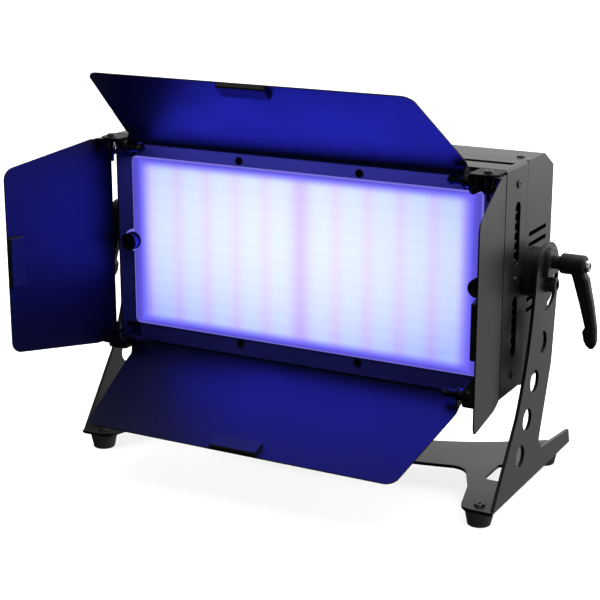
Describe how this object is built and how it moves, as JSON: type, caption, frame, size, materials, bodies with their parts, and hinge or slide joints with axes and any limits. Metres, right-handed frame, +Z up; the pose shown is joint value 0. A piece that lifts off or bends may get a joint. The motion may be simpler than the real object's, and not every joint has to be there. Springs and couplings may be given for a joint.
{
  "type": "led panel light",
  "caption": "Black studio LED panel light in a floor-standing yoke, with hinged barn doors on all sides of the lit window and a clamp lever on each arm.",
  "frame": {"origin": "on the floor, on the plane of symmetry, midway between the front-most point (the side doors' outer edges) and the rear-most point (the yoke's base)", "axes": "+X to the right for someone facing the lit window from the front, +Y from the lit window to the rear panel, +Z up"},
  "size_m": [0.5128, 0.2788, 0.3699],
  "materials": {
    "housing_coat": "satin",
    "door_coat": "satin",
    "frame_coat": "satin",
    "yoke_coat": "satin",
    "lever_coat": "satin",
    "black_steel": "satin",
    "bright_steel": "satin",
    "rubber": "matte",
    "acrylic": "satin",
    "knob_plastic": "satin",
    "socket_plastic": "satin",
    "fan_plastic": "satin",
    "display_glass": "gloss",
    "aluminium": "satin",
    "circuit_board": "satin",
    "led_package": "satin",
    "brass": "satin",
    "door_pad": "matte",
    "black_anodised": "satin"
  },
  "bodies": {
    "stand": {"yoke_bracket": "yoke_coat", "rubber_feet": "rubber", "foot_screws": "black_steel"},
    "head": {"barn_door_frame": "frame_coat", "board_standoffs": "brass", "button_board": "circuit_board", "chassis_plate": "aluminium", "clamp_studs": "bright_steel", "clamp_washers": "black_steel", "connector_pins": "brass", "diffuser_panel": "acrylic", "display_window": "display_glass", "dmx_in": "black_steel", "dmx_out": "black_steel", "driver_board": "circuit_board", "fan_frame": "fan_plastic", "fan_guard": "bright_steel", "fan_screws": "black_steel", "front_shell": "housing_coat", "fuse_holder": "socket_plastic", "heat_sink": "black_anodised", "hinge_brackets": "frame_coat", "hinge_nuts": "black_steel", "hinge_screws": "black_steel", "hinge_spacers": "black_steel", "hinge_springs": "black_steel", "housing_screws": "black_steel", "led_board": "circuit_board", "led_chips": "led_package", "pivot_bolts": "black_steel", "pivot_bosses": "housing_coat", "pivot_inserts": "bright_steel", "pivot_washers": "black_steel", "power_inlet": "socket_plastic", "power_outlet": "socket_plastic", "power_supply": "aluminium", "rear_cover": "housing_coat", "safety_eye": "bright_steel"},
    "top_door": {"top_door": "door_coat", "top_door_pad": "door_pad"},
    "bottom_door": {"bottom_door": "door_coat", "bottom_door_pad": "door_pad"},
    "left_door": {"left_door": "door_coat", "left_door_pad": "door_pad"},
    "right_door": {"right_door": "door_coat", "right_door_pad": "door_pad"},
    "lever_right": {"clamp_lever_right": "lever_coat", "lever_screw_right": "bright_steel"},
    "lever_left": {"clamp_lever_left": "lever_coat", "lever_screw_left": "bright_steel"},
    "knob_right": {"retaining_knob_right": "knob_plastic"},
    "knob_left": {"retaining_knob_left": "knob_plastic"},
    "fan": {"fan_rotor": "fan_plastic"},
    "menu_button": {"button_menu": "rubber"},
    "up_button": {"button_up": "rubber"},
    "down_button": {"button_down": "rubber"},
    "enter_button": {"button_enter": "rubber"},
    "latch": {"dmx_latch": "bright_steel"},
    "fuse": {"fuse_cap": "knob_plastic"}
  },
  "joints": [
    {"name": "tilt", "type": "hinge", "parent": "stand", "child": "head", "pos_m": [0, 0.0574, 0.189], "axis": [-1, 0, 0], "range_deg": [0, 150]},
    {"name": "top_door_hinge", "type": "hinge", "parent": "head", "child": "top_door", "pos_m": [0, -0.02761, 0.291], "axis": [-1, 0, 0], "range_deg": [-83.6, 61.4]},
    {"name": "bottom_door_hinge", "type": "hinge", "parent": "head", "child": "bottom_door", "pos_m": [0, -0.02761, 0.107], "axis": [1, 0, 0], "range_deg": [-65.7, 43.3]},
    {"name": "left_door_hinge", "type": "hinge", "parent": "head", "child": "left_door", "pos_m": [-0.1855, -0.02761, 0.199], "axis": [0, 0, -1], "range_deg": [-27.5, 37.5]},
    {"name": "right_door_hinge", "type": "hinge", "parent": "head", "child": "right_door", "pos_m": [0.1855, -0.02761, 0.199], "axis": [0, 0, 1], "range_deg": [-27.5, 37.5]},
    {"name": "lever_right_turn", "type": "hinge", "parent": "head", "child": "lever_right", "pos_m": [0.228, 0.0574, 0.2094], "axis": [1, 0, 0], "continuous": true},
    {"name": "lever_left_turn", "type": "hinge", "parent": "head", "child": "lever_left", "pos_m": [-0.228, 0.0574, 0.2094], "axis": [1, 0, 0], "continuous": true},
    {"name": "knob_right_turn", "type": "hinge", "parent": "head", "child": "knob_right", "pos_m": [0.175, -0.01661, 0.199], "axis": [0, 1, 0], "continuous": true},
    {"name": "knob_left_turn", "type": "hinge", "parent": "head", "child": "knob_left", "pos_m": [-0.175, -0.01661, 0.199], "axis": [0, 1, 0], "continuous": true},
    {"name": "fan_spin", "type": "hinge", "parent": "head", "child": "fan", "pos_m": [0, 0.0914, 0.199], "axis": [0, 1, 0], "continuous": true},
    {"name": "fuse_cap_turn", "type": "hinge", "parent": "head", "child": "fuse", "pos_m": [-0.115, 0.1094, 0.213], "axis": [0, 1, 0], "range_deg": [0, 90]},
    {"name": "menu_press", "type": "slide", "parent": "head", "child": "menu_button", "axis": [0, -1, 0], "range_m": [0, 0.001], "stiffness_N_per_m": 800, "springref_m": -0.0002},
    {"name": "up_press", "type": "slide", "parent": "head", "child": "up_button", "axis": [0, -1, 0], "range_m": [0, 0.001], "stiffness_N_per_m": 800, "springref_m": -0.0002},
    {"name": "down_press", "type": "slide", "parent": "head", "child": "down_button", "axis": [0, -1, 0], "range_m": [0, 0.001], "stiffness_N_per_m": 800, "springref_m": -0.0002},
    {"name": "enter_press", "type": "slide", "parent": "head", "child": "enter_button", "axis": [0, -1, 0], "range_m": [0, 0.001], "stiffness_N_per_m": 800, "springref_m": -0.0002},
    {"name": "latch_press", "type": "slide", "parent": "head", "child": "latch", "axis": [0, -1, 0], "range_m": [0, 0.0012], "stiffness_N_per_m": 500, "springref_m": -0.0002}
  ]
}
